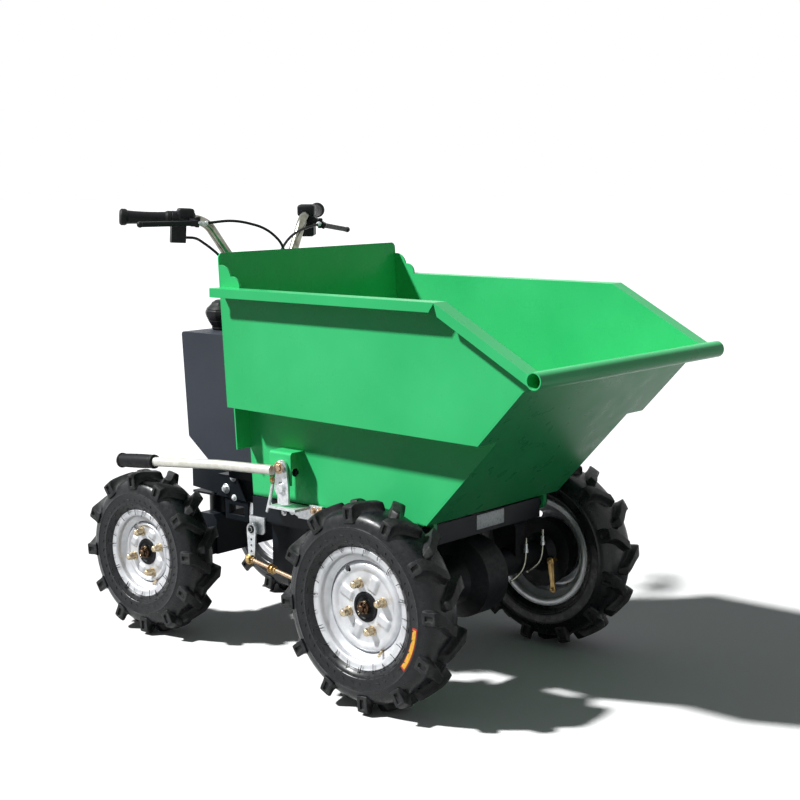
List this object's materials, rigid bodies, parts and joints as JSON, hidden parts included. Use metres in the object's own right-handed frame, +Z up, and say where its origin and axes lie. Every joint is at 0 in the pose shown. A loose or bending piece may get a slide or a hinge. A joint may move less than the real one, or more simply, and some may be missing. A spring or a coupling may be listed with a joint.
{
  "type": "site dumper",
  "caption": "Walk-behind electric site dumper: green forward-tipping steel skip on a four-wheel chassis with farm-tread tyres, handlebar and side tipping lever.",
  "frame": {"origin": "on the ground under the middle of the machine's length and width", "axes": "+X forward, the way the skip tips; +Y left; +Z up"},
  "size_m": [1.559, 0.805, 1.1202],
  "materials": {
    "tyre_rubber": "farm tread, matt sidewall",
    "silver_wheel_paint": "silver paint on pressed steel",
    "yellow_zinc_hub": "yellow-passivated zinc plate",
    "green_skip_paint": "green powder coat",
    "lever_aluminium": "bright drawn tube",
    "black_rubber": "ribbed grip",
    "zinc_plated_steel": "zinc plate",
    "frame_paint": "dark grey paint",
    "axle_casting": "black painted casting",
    "box_powder_coat": "textured dark grey powder coat",
    "battery_case": "moulded case",
    "black_moulding": "moulded plastic",
    "bright_steel": "bright plated tube",
    "cable_sheath": "smooth sheath"
  },
  "bodies": {
    "chassis": {"right_frame_rail": "frame_paint", "left_frame_rail": "frame_paint", "front_cross_member": "frame_paint", "rear_frame": "frame_paint", "controller_case": "frame_paint", "front_axle": "axle_casting", "drive_motor": "axle_casting", "brake_linkage": "zinc_plated_steel", "latch_catch": "zinc_plated_steel", "battery_box": "box_powder_coat", "battery_pack": "battery_case", "steering_column": "frame_paint", "control_pod": "black_moulding"},
    "skip": {"right_skip_side": "green_skip_paint", "left_skip_side": "green_skip_paint", "skip_floor": "green_skip_paint", "skip_front_plate": "green_skip_paint", "skip_rear_wall": "green_skip_paint", "mouth_tube": "green_skip_paint", "lever_bracket": "green_skip_paint"},
    "tip_lever": {"lever_tube": "lever_aluminium", "lever_grip": "black_rubber", "latch_plate": "zinc_plated_steel"},
    "front_right_wheel": {"right_front_tyre": "tyre_rubber", "right_front_rim": "silver_wheel_paint", "right_front_hub": "yellow_zinc_hub"},
    "front_left_wheel": {"left_front_tyre": "tyre_rubber", "left_front_rim": "silver_wheel_paint", "left_front_hub": "yellow_zinc_hub"},
    "rear_axle": {"rear_axle_beam": "frame_paint", "kingpin": "frame_paint"},
    "rear_right_wheel": {"right_rear_tyre": "tyre_rubber", "right_rear_rim": "silver_wheel_paint", "right_rear_hub": "yellow_zinc_hub"},
    "rear_left_wheel": {"left_rear_tyre": "tyre_rubber", "left_rear_rim": "silver_wheel_paint", "left_rear_hub": "yellow_zinc_hub"},
    "handlebar": {"right_handlebar": "bright_steel", "left_handlebar": "bright_steel", "handlebar_stem": "bright_steel", "handlebar_grips": "black_rubber", "brake_levers": "black_moulding", "throttle_housing": "black_moulding", "control_cables": "cable_sheath"},
    "steer_link": {"steer_link": "frame_paint"}
  },
  "joints": [
    {"name": "skip_tip", "type": "hinge", "parent": "chassis", "child": "skip", "pos_m": [0.3605, 0, 0.396], "axis": [0, 1, 0], "range_deg": [0, 75]},
    {"name": "lever_lift", "type": "hinge", "parent": "skip", "child": "tip_lever", "pos_m": [-0.0195, -0.3, 0.514], "axis": [0, 1, 0], "range_deg": [0, 30]},
    {"name": "front_right_spin", "type": "hinge", "parent": "chassis", "child": "front_right_wheel", "pos_m": [0.3005, -0.345, 0.242], "axis": [0, 1, 0], "continuous": true},
    {"name": "front_left_spin", "type": "hinge", "parent": "chassis", "child": "front_left_wheel", "pos_m": [0.3005, 0.345, 0.242], "axis": [0, 1, 0], "continuous": true},
    {"name": "rear_axle_steer", "type": "hinge", "parent": "chassis", "child": "rear_axle", "pos_m": [-0.5625, 0, 0.33], "axis": [0, 0, 1], "range_deg": [-25, 25]},
    {"name": "rear_right_spin", "type": "hinge", "parent": "rear_axle", "child": "rear_right_wheel", "pos_m": [-0.5625, -0.253, 0.217], "axis": [0, 1, 0], "continuous": true},
    {"name": "rear_left_spin", "type": "hinge", "parent": "rear_axle", "child": "rear_left_wheel", "pos_m": [-0.5625, 0.253, 0.217], "axis": [0, 1, 0], "continuous": true},
    {"name": "handlebar_turn", "type": "hinge", "parent": "chassis", "child": "handlebar", "pos_m": [-0.3645, 0, 0.64], "axis": [0, 0, 1], "range_deg": [-25, 25]},
    {"name": "steer_link_swing", "type": "hinge", "parent": "handlebar", "child": "steer_link", "pos_m": [-0.3645, 0.06, 0.446], "axis": [0, 0, 1], "range_deg": [-25, 25]}
  ],
  "couplings": [
    {"joint": "handlebar_turn", "follows": "rear_axle_steer", "ratio": 1},
    {"joint": "steer_link_swing", "follows": "rear_axle_steer", "ratio": -1}
  ]
}
